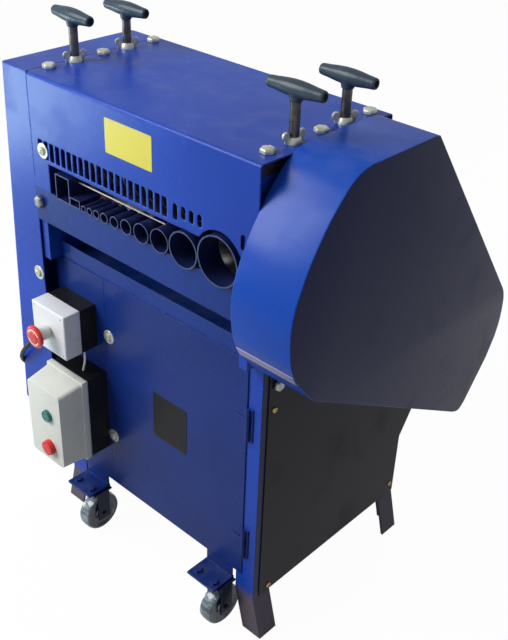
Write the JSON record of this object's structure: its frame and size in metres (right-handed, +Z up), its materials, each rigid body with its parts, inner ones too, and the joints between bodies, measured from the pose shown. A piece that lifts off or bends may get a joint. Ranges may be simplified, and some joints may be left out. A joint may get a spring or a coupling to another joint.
{
  "type": "motor driven cable stripper",
  "caption": "Boxed bench machine on splayed feet that slits scrap cable fed through a row of guide tubes, with T-handled pressure screws, drive cover, door and start and stop boxes.",
  "frame": {"origin": "bottom centre of the whole machine without its mains lead, on the floor", "axes": "+Z up, -Y the front where cable goes in, +X towards the drive cover"},
  "size_m": [0.6995, 0.629, 0.94],
  "materials": {
    "blue_paint": "gloss blue enamel",
    "dark_paint": "near-black enamel",
    "tube_paint": "dark blue enamel, bare ends",
    "zinc": "zinc plated",
    "brass_screws": "plain",
    "machined_steel": "machined",
    "tool_steel": "hardened and ground",
    "grip": "dark grey-blue moulding on a steel screw",
    "belt_rubber": "matt",
    "motor_shell": "cast",
    "pulley_iron": "turned",
    "wheel_tread": "glossy grey",
    "box_black": "matt",
    "cover_grey": "light grey moulding",
    "cover_cream": "cream moulding",
    "red_plastic": "red moulding",
    "green_plastic": "green moulding",
    "lead_sheath": "smooth black sheath",
    "wire_white": "white sheath"
  },
  "bodies": {
    "machine": {"large_guide_tubes": "tube_paint", "small_guide_tubes": "tube_paint", "tube_board": "blue_paint", "right_side_plate": "blue_paint", "left_side_plate": "blue_paint", "screw_bars": "machined_steel", "hood": "blue_paint", "hood_bolts": "zinc", "drive_belt": "belt_rubber", "motor": "motor_shell", "legs": "blue_paint", "stand_frame": "blue_paint", "stand_top": "blue_paint", "chute_lip": "blue_paint", "right_panel": "dark_paint", "left_panel": "blue_paint", "back_panel": "blue_paint", "motor_housing": "dark_paint", "panel_screws": "brass_screws", "front_panel": "blue_paint", "frame_hinges": "blue_paint", "left_cover": "blue_paint", "front_screws": "zinc", "drive_cover": "blue_paint", "caster_brackets": "blue_paint", "caster_forks": "zinc", "stop_box_base": "box_black", "stop_box_cover": "cover_grey", "starter_base": "box_black", "starter_cover": "cover_cream", "mains_lead": "lead_sheath", "mains_gland": "box_black", "mains_coil": "lead_sheath", "mains_plug": "lead_sheath", "link_cable": "wire_white"},
    "front_carriage": {"front_bearing_blocks": "machined_steel"},
    "rear_carriage": {"rear_bearing_blocks": "machined_steel"},
    "front_cutter": {"cutter_shaft": "tool_steel"},
    "rear_puller": {"rear_upper_roller": "machined_steel"},
    "front_roller": {"front_lower_roller": "machined_steel"},
    "rear_roller": {"rear_lower_roller": "machined_steel"},
    "drive": {"drive_shaft": "machined_steel", "drive_pulley": "pulley_iron"},
    "small_pulley": {"motor_pulley": "pulley_iron"},
    "door_body": {"door": "blue_paint", "door_screws": "zinc", "door_hinges": "blue_paint"},
    "right_caster_wheel": {"right_wheel": "wheel_tread"},
    "left_caster_wheel": {"left_wheel": "wheel_tread"},
    "stop": {"stop_button": "red_plastic"},
    "start": {"start_button": "green_plastic"},
    "off": {"off_button": "red_plastic"},
    "front_right_screw": {"front_right_handle": "grip"},
    "front_right_nut": {"front_right_wing_nut": "zinc"},
    "front_left_screw": {"front_left_handle": "grip"},
    "front_left_nut": {"front_left_wing_nut": "zinc"},
    "rear_right_screw": {"rear_right_handle": "grip"},
    "rear_right_nut": {"rear_right_wing_nut": "zinc"},
    "rear_left_screw": {"rear_left_handle": "grip"},
    "rear_left_nut": {"rear_left_wing_nut": "zinc"}
  },
  "joints": [
    {"name": "front_lift", "type": "slide", "parent": "machine", "child": "front_carriage", "axis": [0, 0, 1], "range_m": [-0.008, 0.02]},
    {"name": "front_right_turn", "type": "hinge", "parent": "front_carriage", "child": "front_right_screw", "pos_m": [0.2135, -0.129, 0.9], "axis": [0, 0, 1], "range_deg": [-1440, 3600]},
    {"name": "front_left_turn", "type": "hinge", "parent": "front_carriage", "child": "front_left_screw", "pos_m": [-0.2315, -0.129, 0.9], "axis": [0, 0, 1], "range_deg": [-1440, 3600]},
    {"name": "front_right_nut_turn", "type": "hinge", "parent": "machine", "child": "front_right_nut", "pos_m": [0.2135, -0.129, 0.866], "axis": [0, 0, 1], "continuous": true},
    {"name": "front_left_nut_turn", "type": "hinge", "parent": "machine", "child": "front_left_nut", "pos_m": [-0.2315, -0.129, 0.866], "axis": [0, 0, 1], "continuous": true},
    {"name": "rear_lift", "type": "slide", "parent": "machine", "child": "rear_carriage", "axis": [0, 0, 1], "range_m": [-0.008, 0.02]},
    {"name": "rear_right_turn", "type": "hinge", "parent": "rear_carriage", "child": "rear_right_screw", "pos_m": [0.2135, -0.024, 0.9], "axis": [0, 0, 1], "range_deg": [-1440, 3600]},
    {"name": "rear_left_turn", "type": "hinge", "parent": "rear_carriage", "child": "rear_left_screw", "pos_m": [-0.2315, -0.024, 0.9], "axis": [0, 0, 1], "range_deg": [-1440, 3600]},
    {"name": "rear_right_nut_turn", "type": "hinge", "parent": "machine", "child": "rear_right_nut", "pos_m": [0.2135, -0.024, 0.866], "axis": [0, 0, 1], "continuous": true},
    {"name": "rear_left_nut_turn", "type": "hinge", "parent": "machine", "child": "rear_left_nut", "pos_m": [-0.2315, -0.024, 0.866], "axis": [0, 0, 1], "continuous": true},
    {"name": "cutter_spin", "type": "hinge", "parent": "front_carriage", "child": "front_cutter", "pos_m": [0.003, -0.129, 0.744], "axis": [1, 0, 0], "continuous": true},
    {"name": "puller_spin", "type": "hinge", "parent": "rear_carriage", "child": "rear_puller", "pos_m": [0.003, -0.024, 0.744], "axis": [1, 0, 0], "continuous": true},
    {"name": "front_roller_spin", "type": "hinge", "parent": "machine", "child": "front_roller", "pos_m": [0.003, -0.129, 0.648], "axis": [1, 0, 0], "continuous": true},
    {"name": "rear_roller_spin", "type": "hinge", "parent": "machine", "child": "rear_roller", "pos_m": [0.003, -0.024, 0.648], "axis": [1, 0, 0], "continuous": true},
    {"name": "drive_spin", "type": "hinge", "parent": "machine", "child": "drive", "pos_m": [0.003, -0.0765, 0.59444], "axis": [1, 0, 0], "continuous": true},
    {"name": "motor_pulley_spin", "type": "hinge", "parent": "machine", "child": "small_pulley", "pos_m": [0.2815, 0.184, 0.452], "axis": [1, 0, 0], "continuous": true},
    {"name": "door_swing", "type": "hinge", "parent": "machine", "child": "door_body", "pos_m": [0.2092, -0.1915, 0.335], "axis": [0, 0, 1], "range_deg": [0, 110]},
    {"name": "right_wheel_spin", "type": "hinge", "parent": "machine", "child": "right_caster_wheel", "pos_m": [0.1715, -0.2025, 0.0405], "axis": [1, 0, 0], "continuous": true},
    {"name": "left_wheel_spin", "type": "hinge", "parent": "machine", "child": "left_caster_wheel", "pos_m": [-0.1485, -0.2025, 0.0405], "axis": [1, 0, 0], "continuous": true},
    {"name": "stop_press", "type": "slide", "parent": "machine", "child": "stop", "axis": [0, 1, 0], "range_m": [0, 0.004]},
    {"name": "start_press", "type": "slide", "parent": "machine", "child": "start", "axis": [0, 1, 0], "range_m": [0, 0.004], "stiffness_N_per_m": 400},
    {"name": "off_press", "type": "slide", "parent": "machine", "child": "off", "axis": [0, 1, 0], "range_m": [0, 0.004], "stiffness_N_per_m": 400}
  ],
  "couplings": [
    {"joint": "front_right_turn", "follows": "front_lift", "rad_per_m": 3141.6},
    {"joint": "front_left_turn", "follows": "front_lift", "rad_per_m": 3141.6},
    {"joint": "rear_right_turn", "follows": "rear_lift", "rad_per_m": 3141.6},
    {"joint": "rear_left_turn", "follows": "rear_lift", "rad_per_m": 3141.6},
    {"joint": "rear_roller_spin", "follows": "front_roller_spin", "ratio": 1},
    {"joint": "drive_spin", "follows": "front_roller_spin", "ratio": -1.5},
    {"joint": "motor_pulley_spin", "follows": "front_roller_spin", "ratio": -3.3158}
  ]
}
